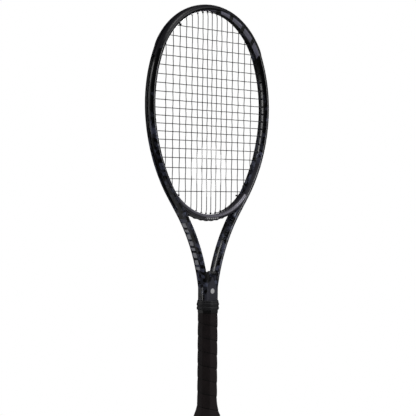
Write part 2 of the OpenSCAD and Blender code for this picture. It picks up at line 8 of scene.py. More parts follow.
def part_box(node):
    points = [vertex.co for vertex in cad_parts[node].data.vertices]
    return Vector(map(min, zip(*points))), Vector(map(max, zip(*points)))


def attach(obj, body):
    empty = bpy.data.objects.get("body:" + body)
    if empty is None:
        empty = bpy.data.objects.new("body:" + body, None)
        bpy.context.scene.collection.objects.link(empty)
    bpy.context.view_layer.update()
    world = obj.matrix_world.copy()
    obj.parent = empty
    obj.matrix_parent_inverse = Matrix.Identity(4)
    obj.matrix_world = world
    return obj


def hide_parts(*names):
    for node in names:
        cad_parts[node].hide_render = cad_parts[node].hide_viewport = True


# Tennis racket: a painted graphite hairpin with a bridge, plastic bumper and grommets,
# woven strings, a wrapped grip with a rubber collar, and a butt cap with a trap door.
# Lengths in the dictionaries are millimetres; every mesh is made in metres.

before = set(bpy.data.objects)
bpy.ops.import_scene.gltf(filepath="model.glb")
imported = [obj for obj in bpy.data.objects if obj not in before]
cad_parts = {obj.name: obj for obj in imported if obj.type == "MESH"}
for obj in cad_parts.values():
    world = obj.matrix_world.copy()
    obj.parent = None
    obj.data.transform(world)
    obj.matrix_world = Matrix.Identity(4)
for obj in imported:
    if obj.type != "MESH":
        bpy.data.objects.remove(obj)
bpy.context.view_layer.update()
mm = 0.001
print("frame loaded")


def surface(grids, uvs=None):
    # Joins grids of points (rows, columns, 3) into one mesh's arrays. Each grid is closed
    # round its columns; "ends" says if its rows close into a ring or get a flat end.
    verts, quads, caps, loopUvs, start = [], [], [], [], 0
    for index, (grid, ends) in enumerate(grids):
        rows, columns = grid.shape[:2]
        ids = start + np.arange(rows * columns).reshape(rows, columns)
        beside = np.roll(ids, -1, axis=1)
        if ends == "ring":
            above, aboveBeside = np.roll(ids, -1, axis=0), np.roll(beside, -1, axis=0)
        else:
            ids, above = ids[:-1], ids[1:]
            beside, aboveBeside = beside[:-1], beside[1:]
        faces = np.stack([ids, beside, aboveBeside, above], axis=-1).reshape(-1, 4)
        flat = grid.reshape(-1, 3)
        a, b, c, d = (flat[faces[:, k] - start] for k in range(4))
        volume = np.einsum("ij,ij->", a, np.cross(b, c)) + np.einsum("ij,ij->", a, np.cross(c, d))
        first, last = start + np.arange(columns)[::-1], start + np.arange(columns) + (rows - 1) * columns
        if volume < 0:
            faces, first, last = faces[:, ::-1], first[::-1], last[::-1]
        verts.append(flat)
        quads.append(faces)
        if ends == "flat":
            caps += [first.tolist(), last.tolist()]
        if uvs is not None:
            u = np.append(uvs[index][1], uvs[index][2])
            along = np.repeat(uvs[index][0], columns).reshape(-1, columns)[:faces.shape[0] // columns + 1]
            low, high = along[:-1], along[1:]
            pair = np.stack([
                np.stack([low, np.broadcast_to(u[:-1], low.shape)], -1),
                np.stack([low, np.broadcast_to(u[1:], low.shape)], -1),
                np.stack([high, np.broadcast_to(u[1:], low.shape)], -1),
                np.stack([high, np.broadcast_to(u[:-1], low.shape)], -1)], axis=2).reshape(-1, 4, 2)
            loopUvs.append(pair[:, ::-1] if volume < 0 else pair)
        start += rows * columns
    return np.vstack(verts), np.vstack(quads), caps, np.vstack(loopUvs) if uvs is not None else None


def makePiece(name, grids, material, nodes, body="racket", uvs=None, sharp=38):
    # One piece from its grids: the mesh, its map, smooth faces that stay sharp past an angle in
    # degrees, and the body, the replaced nodes and the colour slot that it goes with.
    verts, quads, caps, loopUvs = surface(grids, uvs)
    mesh = bpy.data.meshes.new(name)
    mesh.from_pydata(verts.tolist(), [], quads.tolist() + caps)
    if loopUvs is not None:
        flat = np.zeros((len(mesh.loops), 2), np.float32)
        flat[:loopUvs.reshape(-1, 2).shape[0]] = loopUvs.reshape(-1, 2)
        layer = mesh.uv_layers.new(name="pathMap")
        layer.data.foreach_set("uv", flat.ravel())
    mesh.polygons.foreach_set("use_smooth", np.ones(len(mesh.polygons), bool))
    mesh.set_sharp_from_angle(angle=math.radians(sharp))
    mesh.materials.append(material)
    piece = bpy.data.objects.new(name, mesh)
    bpy.context.scene.collection.objects.link(piece)
    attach(piece, body)
    if nodes:
        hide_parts(*nodes)
    print("made", name, len(mesh.polygons), "faces")
    return piece


hairpin = {
    "arcs": [(121.5, 67.0), (220.0, 29.0), (258.0, 30.0)],   # radius and turn, from the top
    "tubeWidth": 11.0, "tubeDepth": 21.0, "fullness": 0.85,
    "grooveHalf": 3.0, "grooveFloor": 3.1,
    "shaftRadius": 285.0, "shaftHalfGap": 7.2, "shaftEnd": 36.0,
    "bumperThickness": 0.9, "strideMm": 2.0,
}
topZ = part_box("frame_tube")[1].z / mm - hairpin["tubeWidth"] / 2


def outward(heading):
    # The outward direction (across, up) at a heading: its sine and its cosine.
    return np.stack([np.sin(np.radians(heading)), np.cos(np.radians(heading))], axis=-1)


def rightHalf():
    # Tangent arcs from the top, then a straight, then a bend the other way that ends
    # upright: each arc's centre lies on the last one's end radius.
    stride = hairpin["strideMm"]
    centre, heading, points, headings = np.array([0.0, topZ - hairpin["arcs"][0][0]]), 0.0, [], []
    for number, (radius, turn) in enumerate(hairpin["arcs"]):
        angles = np.linspace(heading, heading + turn, int(radius * math.radians(turn) / stride) + 1)[:-1]
        points.append(centre + radius * outward(angles))
        headings.append(angles)
        heading += turn
        if number + 1 < len(hairpin["arcs"]):
            centre = centre + (radius - hairpin["arcs"][number + 1][0]) * outward(heading)
    end = centre + radius * outward(heading)
    bendR, gap = hairpin["shaftRadius"], hairpin["shaftHalfGap"]
    straight = (end[0] - gap - bendR * (1 + math.cos(math.radians(heading + 90)))) \
        / math.sin(math.radians(heading - 90))
    way = np.array([math.cos(math.radians(heading)), -math.sin(math.radians(heading))])
    steps = np.linspace(0, straight, int(straight / stride) + 1)[:-1]
    points.append(end + steps[:, None] * way)
    headings.append(np.full(len(steps), heading))
    bendCentre = end + straight * way + bendR * outward(heading)
    angles = np.linspace(heading, 90, int(bendR * math.radians(heading - 90) / stride) + 1)
    points.append(bendCentre - bendR * outward(angles))
    headings.append(angles)
    points.append(np.array([[gap, hairpin["shaftEnd"]]]))
    headings.append(np.array([90.0]))
    points, headings = np.vstack(points), np.concatenate(headings)
    along = np.concatenate([[0], np.cumsum(np.linalg.norm(np.diff(points, axis=0), axis=1))])
    return points, headings, along, heading


halfPoints, halfHeadings, halfAlong, lean = rightHalf()
hoopLength = sum(r * math.radians(t) for r, t in hairpin["arcs"])
linePoints = np.vstack([halfPoints[:0:-1] * [-1, 1], halfPoints])
lineOut = np.vstack([outward(halfHeadings[:0:-1]) * [-1, 1], outward(halfHeadings)])
lineAlong = np.concatenate([-halfAlong[:0:-1], halfAlong])


def fuller(value):
    # A sine or cosine raised to a power under one, which swells an ellipse's shoulders.
    return np.sign(value) * np.abs(value) ** hairpin["fullness"]


def ovalRing(width, depth, count, cutHalf=0.0):
    # An oval a little fuller than an ellipse, from the inner side round the front, the
    # outside and the back. With cutHalf, it stops short of the outside on each side.
    edge = math.asin(min(1, 2 * cutHalf / depth) ** (1 / hairpin["fullness"]))
    half = np.linspace(math.pi, edge, count)
    return np.stack([width / 2 * fuller(np.cos(half)), depth / 2 * fuller(np.sin(half))], -1)


def tubeSection(floorU, count=26):
    # The whole ring of the tube: the front half, the groove's floor, and the back half.
    half = ovalRing(hairpin["tubeWidth"], hairpin["tubeDepth"], count, hairpin["grooveHalf"])
    wall = np.array([[floorU, hairpin["grooveHalf"]]])
    back = np.vstack([half, wall])
    front = back * [1, -1]
    return np.vstack([front, back[::-1][:-1]])


def sweep(points, out, sections):
    # Each station's ring: the section's first number goes outwards, its second front to back.
    grid = np.empty((len(points), sections.shape[-2], 3))
    grid[..., 0] = points[:, None, 0] + sections[..., 0] * out[:, None, 0]
    grid[..., 1] = sections[..., 1]
    grid[..., 2] = points[:, None, 1] + sections[..., 0] * out[:, None, 1]
    return grid * mm


def perimeter(section):
    # Distance round the ring in metres, nought at the middle of the outside.
    loop = np.vstack([section, section[:1]])
    around = np.concatenate([[0], np.cumsum(np.linalg.norm(np.diff(loop, axis=0), axis=1))])
    return (around[:-1] - around[-1] / 2) * mm, around[-1] / 2 * mm


def smoothStep(value, low, high):
    # Nought at low, one at high, and 3t^2 - 2t^3 between them.
    t = np.clip((value - low) / (high - low), 0, 1)
    return t * t * (3 - 2 * t)


def toLinear(hexColour):
    # An sRGB colour such as #808080 as the linear values that the shader takes.
    parts = np.array([int(hexColour[k:k + 2], 16) for k in (1, 3, 5)]) / 255
    linear = np.where(parts <= 0.04045, parts / 12.92, ((parts + 0.055) / 1.055) ** 2.4)
    return (*linear.tolist(), 1.0)


def addNode(tree, kind, inputs=None, **settings):
    # A node with its settings; an input is a value, or a socket that gets linked.
    node = tree.nodes.new(kind)
    for key, value in settings.items():
        setattr(node, key, value)
    for key, value in (inputs or {}).items():
        if isinstance(value, bpy.types.NodeSocket):
            tree.links.new(value, node.inputs[key])
        else:
            node.inputs[key].default_value = value
    return node


def startMaterial(name, **shaderInputs):
    # A material with its shader, output and coordinates; underscores in a name become spaces.
    material = bpy.data.materials.new(name)
    material.use_nodes = True
    tree = material.node_tree
    tree.nodes.clear()
    shader = addNode(tree, "ShaderNodeBsdfPrincipled",
                     {key.replace("_", " "): value for key, value in shaderInputs.items()})
    addNode(tree, "ShaderNodeOutputMaterial", {"Surface": shader.outputs["BSDF"]})
    coords = addNode(tree, "ShaderNodeTexCoord")
    return material, tree, shader, coords


def mixColour(tree, factor, low, high):
    # Low where the factor is nought and high where it is one; a colour is a hex or a socket.
    node = addNode(tree, "ShaderNodeMix", {"Factor": factor}, data_type="RGBA")
    for key, value in ((6, low), (7, high)):
        if isinstance(value, bpy.types.NodeSocket):
            tree.links.new(value, node.inputs[key])
        else:
            node.inputs[key].default_value = toLinear(value)
    return node.outputs[2]


def band(tree, value, low, high, soft=0.0004):
    # One between low and high and nought outside, with a soft edge a fraction of a mm wide.
    rise = addNode(tree, "ShaderNodeMapRange", {0: value, 1: low - soft, 2: low + soft}).outputs[0]
    fall = addNode(tree, "ShaderNodeMapRange", {0: value, 1: high + soft, 2: high - soft}).outputs[0]
    return addNode(tree, "ShaderNodeMath", {0: rise, 1: fall}, operation="MULTIPLY").outputs[0]


def both(tree, a, b, how="MULTIPLY"):
    # One step of arithmetic on two numbers or sockets.
    return addNode(tree, "ShaderNodeMath", {0: a, 1: b}, operation=how).outputs[0]


def roughAndBump(tree, shader, vector, scaleMm, depthMm, strength, low, high):
    # Grain of a given size: it moves the roughness between two values and gives the bump.
    noise = addNode(tree, "ShaderNodeTexNoise",
                    {"Vector": vector, "Scale": 1 / (scaleMm * mm), "Detail": 4.0, "Roughness": 0.6})
    rough = addNode(tree, "ShaderNodeMapRange", {0: noise.outputs[0], 1: 0.3, 2: 0.7, 3: low, 4: high})
    tree.links.new(rough.outputs[0], shader.inputs["Roughness"])
    bump = addNode(tree, "ShaderNodeBump",
                   {"Strength": strength, "Distance": depthMm * mm, "Height": noise.outputs[0]})
    tree.links.new(bump.outputs[0], shader.inputs["Normal"])
    return noise


paintLook = {
    "black": "#050507", "charcoal": "#363844", "slate": "#5b5f74", "pale": "#a9a8bd",
    # line is the colour of the painted highlight beside each shaft
    "line": "#6e7080", "patchMm": 9.0, "blockMm": 5.0,
    "bars": [(16, 38), (46, 70), (78, 102), (110, 134)],       # pale bars, top right, mm along
    "shaftBars": [(438, 446), (450, 455), (459, 468), (472, 480), (484, 489), (493, 502),
                  (506, 514), (518, 523)],
}


def printedPatches(tree, place, level):
    # Blocky cells, each taking one value of a broad noise: over the level they turn
    # charcoal, and well over it slate.
    look = paintLook
    blocks = addNode(tree, "ShaderNodeTexVoronoi",
                     {"Vector": place, "Scale": 1 / (look["blockMm"] * mm), "Randomness": 0.8},
                     distance="CHEBYCHEV")
    patches = addNode(tree, "ShaderNodeTexNoise",
                      {"Vector": blocks.outputs["Position"], "Scale": 1 / (look["patchMm"] * mm),
                       "Detail": 2.0}).outputs[0]
    colour = mixColour(tree, both(tree, patches, level, "GREATER_THAN"), look["black"], look["charcoal"])
    slateLevel = both(tree, level, 0.09, "ADD")
    colour = mixColour(tree, both(tree, patches, slateLevel, "GREATER_THAN"), colour, look["slate"])
    return patches, colour


def crotchLacquer():
    # The same lacquer on the V: a grey wedge, with a plain white dot printed on its front.
    material, tree, shader, coords = startMaterial(
        "wedgeLacquer", Coat_Weight=0.5, Coat_Roughness=0.1, Specular_IOR_Level=0.35)
    place = coords.outputs["Object"]
    split = addNode(tree, "ShaderNodeSeparateXYZ", {0: place})
    colour = printedPatches(tree, place, 0.5)[1]
    front = both(tree, split.outputs[1], -0.0075, "LESS_THAN")
    side = addNode(tree, "ShaderNodeMath", {0: split.outputs[0]}, operation="ABSOLUTE").outputs[0]
    slope = both(tree, both(tree, split.outputs[2], 0.243, "SUBTRACT"), -0.45)
    wedge = both(tree, front, both(tree, side, slope, "LESS_THAN"))
    colour = mixColour(tree, wedge, colour, "#45454f")
    height = both(tree, split.outputs[2], 0.2175, "SUBTRACT")
    dot = addNode(tree, "ShaderNodeVectorMath",
                  {0: addNode(tree, "ShaderNodeCombineXYZ", {0: split.outputs[0], 2: height}).outputs[0]},
                  operation="LENGTH").outputs["Value"]
    colour = mixColour(tree, both(tree, front, band(tree, dot, 0.0, 0.0042)), colour, "#e9e9ec")
    tree.links.new(colour, shader.inputs["Base Color"])
    roughAndBump(tree, shader, place, 1.2, 0.02, 0.15, 0.28, 0.4)
    return material


def camouflagePaint():
    # Clear-coated lacquer over graphite, with printed patches: deep gloss black that
    # breaks into dull slate blocks lower down the frame.
    look = paintLook
    material, tree, shader, coords = startMaterial(
        "clearCoatedLacquer", Coat_Weight=0.6, Coat_Roughness=0.08, Specular_IOR_Level=0.35)
    place = coords.outputs["Object"]
    split = addNode(tree, "ShaderNodeSeparateXYZ", {0: coords.outputs["UV"]})
    along, around = split.outputs[0], split.outputs[1]
    distance = addNode(tree, "ShaderNodeMath", {0: along}, operation="ABSOLUTE").outputs[0]
    lower = addNode(tree, "ShaderNodeMapRange", {0: distance, 1: 0.19, 2: 0.3, 3: 0.62, 4: 0.48}).outputs[0]
    patches, colour = printedPatches(tree, place, lower)
    # painted highlight: a slate strip on the front face beside each shaft, broken up by the patches
    shaftHighlight = both(tree, band(tree, along, 0.4, 0.62, 0.02), band(tree, around, -0.0125, -0.0095, 0.0012))
    # the same painted highlight, on the inner front edge of the other shaft
    inner = both(tree, band(tree, along, -0.62, -0.4, 0.02), band(tree, around, -0.0185, -0.0155, 0.0008))
    shaftHighlights = both(tree, shaftHighlight, inner, "MAXIMUM")
    shaftHighlights = both(tree, shaftHighlights, both(tree, patches, 1.5, "MULTIPLY"), "MULTIPLY")
    # the painted highlights go on in the line colour
    colour = mixColour(tree, shaftHighlights, colour, look["line"])
    # the pale swoosh on the upper left, and a painted highlight in satin grey that runs on from the
    # bridge's painted highlight
    taper = addNode(tree, "ShaderNodeMapRange", {0: along, 1: -0.17, 2: -0.05, 3: -0.0215, 4: -0.0165})
    swoosh = both(tree, band(tree, along, -0.165, 0.006, 0.004),
                  both(tree, both(tree, around, taper.outputs[0], "LESS_THAN"),
                       both(tree, around, -0.0255, "GREATER_THAN")))
    colour = mixColour(tree, swoosh, colour, "#6b6775")
    # painted highlight: a grey band on the front inner face of the hoop beside the bridge
    bridgeJoinHighlight = both(tree, band(tree, distance, 0.318, 0.4, 0.012), band(tree, around, -0.0225, -0.0125, 0.0015))
    colour = mixColour(tree, bridgeJoinHighlight, colour, "#3f3e45")
    # generic printed bars: four long ones at the top right and short ones on the left shaft
    bars = None
    for low, high in look["bars"]:
        slant = both(tree, along, both(tree, around, 0.8, "MULTIPLY"), "ADD")
        bar = band(tree, slant, low * mm - 0.013, high * mm - 0.013)
        bars = bar if bars is None else both(tree, bars, bar, "MAXIMUM")
    bars = both(tree, bars, band(tree, around, -0.0225, -0.0155))
    colour = mixColour(tree, bars, colour, look["pale"])
    marks = None
    for low, high in look["shaftBars"]:
        mark = band(tree, along, -high * mm, -low * mm)
        marks = mark if marks is None else both(tree, marks, mark, "MAXIMUM")
    marks = both(tree, marks, band(tree, around, -0.0042, 0.0042))
    colour = mixColour(tree, marks, colour, "#c4c5cc")
    faint = both(tree, band(tree, along, 0.436, 0.512),
                 both(tree, both(tree, along, 0.0045, "FLOORED_MODULO"), 0.002, "LESS_THAN"))
    faint = both(tree, faint, band(tree, around, -0.021, -0.0185))
    colour = mixColour(tree, faint, colour, "#4d4f5a")
    sticker = both(tree, band(tree, along, 0.424, 0.43), band(tree, around, -0.0225, -0.0175))
    colour = mixColour(tree, sticker, colour, "#c3c9da")
    tree.links.new(colour, shader.inputs["Base Color"])
    roughAndBump(tree, shader, place, 1.2, 0.02, 0.15, 0.24, 0.36)
    return material


def bridgePaint():
    # Satin lacquer with metallic flake: grey, with a painted highlight, a soft pale band along the front
    # edge.
    material, tree, shader, coords = startMaterial(
        "satinLacquer", Metallic=0.35, Coat_Weight=0.3, Coat_Roughness=0.2)
    split = addNode(tree, "ShaderNodeSeparateXYZ", {0: coords.outputs["UV"]})
    # painted highlight: a pale band along the front edge of the bridge
    frontHighlight = band(tree, split.outputs[1], -0.017, -0.013, 0.002)
    flake = addNode(tree, "ShaderNodeTexNoise", {"Vector": coords.outputs["Object"], "Scale": 2500.0})
    colour = mixColour(tree, flake.outputs[0], "#2c2b31", "#4a4850")
    colour = mixColour(tree, frontHighlight, colour, "#8e8c98")
    mark = both(tree, band(tree, split.outputs[0], -0.014, 0.014),
                both(tree, both(tree, split.outputs[0], 0.0045, "FLOORED_MODULO"), 0.003, "LESS_THAN"))
    mark = both(tree, mark, band(tree, split.outputs[1], -0.0115, -0.009))
    colour = mixColour(tree, mark, colour, "#f2f2f5")
    tree.links.new(colour, shader.inputs["Base Color"])
    roughAndBump(tree, shader, coords.outputs["Object"], 0.8, 0.015, 0.15, 0.34, 0.46)
    return material


def mouldedNylon(name, low, high, roughLow, roughHigh, grainMm=0.9):
    # Injection-moulded nylon: a fine spark-eroded grain, and pale scuffs on the worn parts.
    material, tree, shader, coords = startMaterial(name, Specular_IOR_Level=0.45)
    roughAndBump(tree, shader, coords.outputs["Object"], grainMm, 0.05, 0.35, roughLow, roughHigh)
    cloud = addNode(tree, "ShaderNodeTexNoise",
                    {"Vector": coords.outputs["Object"], "Scale": 60.0, "Detail": 5.0})
    tree.links.new(mixColour(tree, cloud.outputs[0], low, high), shader.inputs["Base Color"])
    return material


stencil = {"centreZ": 417.0, "outerHalfWidth": 52.0, "outerHalfHeight": 50.0, "hole": 0.42}


def stringPolymer():
    # Extruded co-polyester monofilament, smooth and slightly clear, with a stencilled
    # plain diamond of white ink across the bed.
    material, tree, shader, coords = startMaterial("extrudedPolyester", Coat_Weight=0.2)
    split = addNode(tree, "ShaderNodeSeparateXYZ", {0: coords.outputs["Object"]})
    across = both(tree, split.outputs[0], 1000 / stencil["outerHalfWidth"])
    across = addNode(tree, "ShaderNodeMath", {0: across}, operation="ABSOLUTE").outputs[0]
    up = both(tree, split.outputs[2], stencil["centreZ"] * mm, "SUBTRACT")
    up = both(tree, up, 1000 / stencil["outerHalfHeight"])
    up = addNode(tree, "ShaderNodeMath", {0: up}, operation="ABSOLUTE").outputs[0]
    ring = band(tree, both(tree, across, up, "ADD"), stencil["hole"], 1.0, 0.02)
    ink = addNode(tree, "ShaderNodeTexNoise", {"Vector": coords.outputs["Object"], "Scale": 700.0})
    base = mixColour(tree, ink.outputs[0], "#1b1b1f", "#34343a")
    tree.links.new(mixColour(tree, ring, base, "#f1f1f1"), shader.inputs["Base Color"])
    roughAndBump(tree, shader, coords.outputs["Object"], 0.5, 0.01, 0.1, 0.28, 0.42)
    return material


def gripSkin():
    # Embossed polyurethane strip: dry and dull, with leather-like pores and darker seams.
    material, tree, shader, coords = startMaterial(
        "embossedPolyurethane", Sheen_Weight=0.1, Sheen_Roughness=0.5, Specular_IOR_Level=0.2)
    split = addNode(tree, "ShaderNodeSeparateXYZ", {0: coords.outputs["UV"]})
    phase = both(tree, both(tree, both(tree, split.outputs[0], split.outputs[1], "ADD"), 0.19, "ADD"),
                 1.0, "FLOORED_MODULO")
    pores = addNode(tree, "ShaderNodeTexVoronoi",
                    {"Vector": coords.outputs["Object"], "Scale": 1 / (1.1 * mm), "Randomness": 1.0},
                    feature="SMOOTH_F1")
    cloud = addNode(tree, "ShaderNodeTexNoise",
                    {"Vector": coords.outputs["Object"], "Scale": 90.0, "Detail": 6.0})
    colour = mixColour(tree, cloud.outputs[0], "#151011", "#302728")
    seam = both(tree, phase, 0.055, "LESS_THAN")
    colour = mixColour(tree, seam, colour, "#080607")
    tree.links.new(colour, shader.inputs["Base Color"])
    height = both(tree, both(tree, pores.outputs["Distance"], 0.6), cloud.outputs[0], "ADD")
    rough = addNode(tree, "ShaderNodeMapRange", {0: cloud.outputs[0], 1: 0.3, 2: 0.7, 3: 0.55, 4: 0.75})
    bump = addNode(tree, "ShaderNodeBump", {"Strength": 0.45, "Distance": 0.25 * mm, "Height": height})
    tree.links.new(rough.outputs[0], shader.inputs["Roughness"])
    tree.links.new(bump.outputs[0], shader.inputs["Normal"])
    return material


def simpleGrain(name, low, high, roughLow, roughHigh, grainMm, metallic=0.0):
    # A plain material with its own grain: rubber, foam, cloth tape or drawn steel wire.
    material, tree, shader, coords = startMaterial(name, Metallic=metallic)
    noise = roughAndBump(tree, shader, coords.outputs["Object"], grainMm, 0.08, 0.3,
                         roughLow, roughHigh)
    tree.links.new(mixColour(tree, noise.outputs[0], low, high), shader.inputs["Base Color"])
    return material


paint = camouflagePaint()
crotchPaint = crotchLacquer()
bridgeLacquer = bridgePaint()
bumperNylon = mouldedNylon("scuffedNylon", "#121116", "#232129", 0.34, 0.5)
grommetNylon = mouldedNylon("mouldedNylon", "#0a0a0c", "#16161a", 0.35, 0.5)
capNylon = mouldedNylon("grainedNylon", "#0b0b0d", "#17171b", 0.42, 0.58, 0.7)
polyester = stringPolymer()
gripPolyurethane = gripSkin()
collarRubber = simpleGrain("mouldedRubber", "#121214", "#232327", 0.5, 0.66, 0.8)
vinylTape = simpleGrain("calenderedVinyl", "#0c0c0d", "#191919", 0.4, 0.5, 1.5)
rigidFoam = simpleGrain("rigidFoam", "#a59d88", "#cfc8b4", 0.75, 0.9, 1.4)
clothTape = simpleGrain("wovenTape", "#6f6a60", "#9a9488", 0.8, 0.9, 0.6)
drawnSteel = simpleGrain("drawnSteel", "#8d8d92", "#c2c2c6", 0.25, 0.4, 0.4, 1.0)
print("materials made")


def makeHoop():
    # The hairpin in one ring per station. The groove fills in past the hoop's end, so the
    # floor of the ring rises from the groove's floor to the tube's outer edge there.
    floor = hairpin["tubeWidth"] / 2 - 0.02 - (hairpin["tubeWidth"] / 2 - 0.02 - hairpin["grooveFloor"]) \
        * (1 - smoothStep(np.abs(lineAlong), hoopLength + 14, hoopLength + 22))
    base = tubeSection(hairpin["grooveFloor"])
    sections = np.repeat(base[None], len(lineAlong), axis=0)
    wall = np.isclose(sections[..., 0], hairpin["grooveFloor"]) \
        & np.isclose(np.abs(sections[..., 1]), hairpin["grooveHalf"])
    sections[..., 0] = np.where(wall, floor[:, None], sections[..., 0])
    around, half = perimeter(tubeSection(hairpin["tubeWidth"] / 2 - 0.02))
    grid = sweep(linePoints, lineOut, sections)
    return makePiece("hoopAndShafts", [(grid, "flat")], paint, ["frame_tube"],
                     uvs=[(lineAlong * mm, around, half)])


bridge = {"centreZ": 446.3, "radius": 108.2, "halfTurn": 48.0, "depth": 19.0, "flareTurn": 22.0,
          "flareWidth": 12.0}


def bridgeLine(count=120, turn=None):
    # Points, outward directions and distances along an arc round the racket's own axis.
    turn = turn or bridge["halfTurn"]
    angles = np.linspace(180 - turn, 180 + turn, count)
    points = np.array([0, bridge["centreZ"]]) + bridge["radius"] * outward(angles)
    return points, outward(angles), (angles - 180) * math.radians(1) * bridge["radius"]


def makeBridge():
    # The bridge widens downwards at each end, where it flows into the hoop.
    points, out, along = bridgeLine()
    reach = np.radians(bridge["halfTurn"]) * bridge["radius"]
    start = reach - np.radians(bridge["flareTurn"]) * bridge["radius"]
    extra = bridge["flareWidth"] * smoothStep(np.abs(along), start, reach) ** 1.5
    offset = halfPoints - [0, bridge["centreZ"]]
    lineTurn = np.degrees(np.arctan2(offset[:, 0], -offset[:, 1]))
    near = (halfAlong > hoopLength - 160) & (lineTurn > 5)
    order = np.argsort(lineTurn[near])
    room = np.interp(np.abs(along) / bridge["radius"] / math.radians(1), lineTurn[near][order],
                     np.linalg.norm(offset[near][order], axis=1)) - bridge["radius"]
    extra = np.clip(extra, -2.5, room - 3.5)
    half = ovalRing(hairpin["tubeWidth"], bridge["depth"], 26)
    ring = np.vstack([half * [1, -1], half[::-1][1:-1]])
    sections = np.repeat(ring[None], len(points), axis=0)
    outward = ring[None, :, 0]
    widened = extra[:, None] * outward / (hairpin["tubeWidth"] / 2)
    sections[..., 0] += np.where(outward > 0, widened, 0)
    around, halfWay = perimeter(ring)
    grid = sweep(points, out, sections)
    return makePiece("bridge", [(grid, "flat")], bridgeLacquer, ["throat_bridge"],
                     uvs=[(along * mm, around, halfWay)])


makeHoop()
makeBridge()

strings = {"diameter": 1.3, "mainWave": 0.32, "crossWave": 1.0, "lane": 0.7, "tieLane": 1.4,
           "first": 5.15, "pitch": 10.65, "growth": 0.8, "mainsPerSide": 8,
           "crosses": 19, "middleCross": 166.6, "crossPitch": 12.5, "opening": 0.0275,
           "bias": 0.115, "ease": 0.0014, "cornerMain": 5, "barrelOut": 2.0, "seatU": 4.85}
tipU = -(hairpin["tubeWidth"] / 2 + strings["barrelOut"])
mainIds = np.arange(strings["mainsPerSide"])
mainX = strings["first"] + mainIds * strings["pitch"] + strings["growth"] * mainIds * (mainIds - 1) / 2
steps = (strings["crosses"] - 1) / 2 - np.arange(strings["crosses"])
crossZ = topZ - strings["middleCross"] + strings["crossPitch"] * steps + strings["opening"] * steps ** 3 \
    + strings["bias"] * steps ** 2 - strings["ease"] * steps ** 4

tipLine = halfPoints + tipU * outward(halfHeadings)
widest = int(np.argmax(tipLine[:, 0]))


def hoopHoles():
    # Where each string meets the line of barrel tips, found along that line.
    onHoop = halfHeadings <= lean
    upper = slice(0, widest)
    topH = np.interp(mainX, tipLine[upper, 0], halfHeadings[upper])
    lowPart = np.arange(widest, int(onHoop.sum()) - 1)
    lowPart = lowPart[halfAlong[lowPart] <= hoopLength]
    lowH = np.interp(mainX, tipLine[lowPart][::-1, 0], halfHeadings[lowPart][::-1])
    span = halfAlong <= hoopLength
    crossH = np.interp(crossZ, tipLine[span][::-1, 1], halfHeadings[span][::-1])
    return topH, lowH, crossH


topH, lowH, crossH = hoopHoles()


def atHeading(heading, u):
    # The point of the hoop at a heading, moved outwards by u.
    span = halfAlong <= hoopLength
    point = np.stack([np.interp(heading, halfHeadings[span], halfPoints[span, k]) for k in (0, 1)], -1)
    return point + u * outward(heading)


def bridgeHole(x, u):
    # The hole whose barrel tip has a given x on the bridge, at u from its line, and its heading.
    heading = 180 - np.degrees(np.arcsin(x / (bridge["radius"] + tipU)))
    return np.array([0, bridge["centreZ"]]) + (bridge["radius"] + u) * outward(heading), heading


def barrels(tips, headings, sides, y, length=6.5, widths=(1.62, 1.45, 1.2)):
    # Short tapered tubes: seven rings from the root to the tip, back down the bore.
    along = np.array([length, 0.5, 0.12, 0.0, 0.0, 1.0, length])
    radius = np.array([widths[0], widths[1], widths[1], widths[2], 0.88, 0.85, 0.85])
    angle = np.linspace(0, 2 * math.pi, 16, endpoint=False)
    grids = []
    for tip, heading, side, lane in zip(tips, headings, sides, y):
        axis = outward(heading) * [side, 1]
        flat = np.array([axis[1], -axis[0]])
        base = np.array([side * tip[0], tip[1]])[None] + along[:, None] * axis
        grid = np.empty((7, 16, 3))
        grid[..., 0] = base[:, 0, None] + radius[:, None] * np.cos(angle) * flat[0]
        grid[..., 2] = base[:, 1, None] + radius[:, None] * np.cos(angle) * flat[1]
        grid[..., 1] = lane + radius[:, None] * np.sin(angle)
        grids.append((grid * mm, "ring"))
    return grids


def holeList(kind, ids, side):
    # Tip, heading, side and lane of each hole: mains lie in front and crosses behind.
    if kind == "top":
        return [(atHeading(topH[i], tipU), topH[i], side, strings["lane"]) for i in ids]
    if kind == "cross":
        return [(atHeading(crossH[j], tipU), crossH[j], side, -strings["lane"]) for j in ids]
    if kind == "bridge":
        return [(*bridgeHole(mainX[i], tipU), side, strings["lane"]) for i in ids]
    return [(atHeading(lowH[i], tipU), lowH[i], side, strings["lane"]) for i in ids]


def barrelGrids(holes):
    # The barrels of a list of holes.
    return barrels(*zip(*holes))


bumper = {"endHeading": (crossH[3] + crossH[4]) / 2, "channelHalf": 1.45, "stripTop": 3.9}


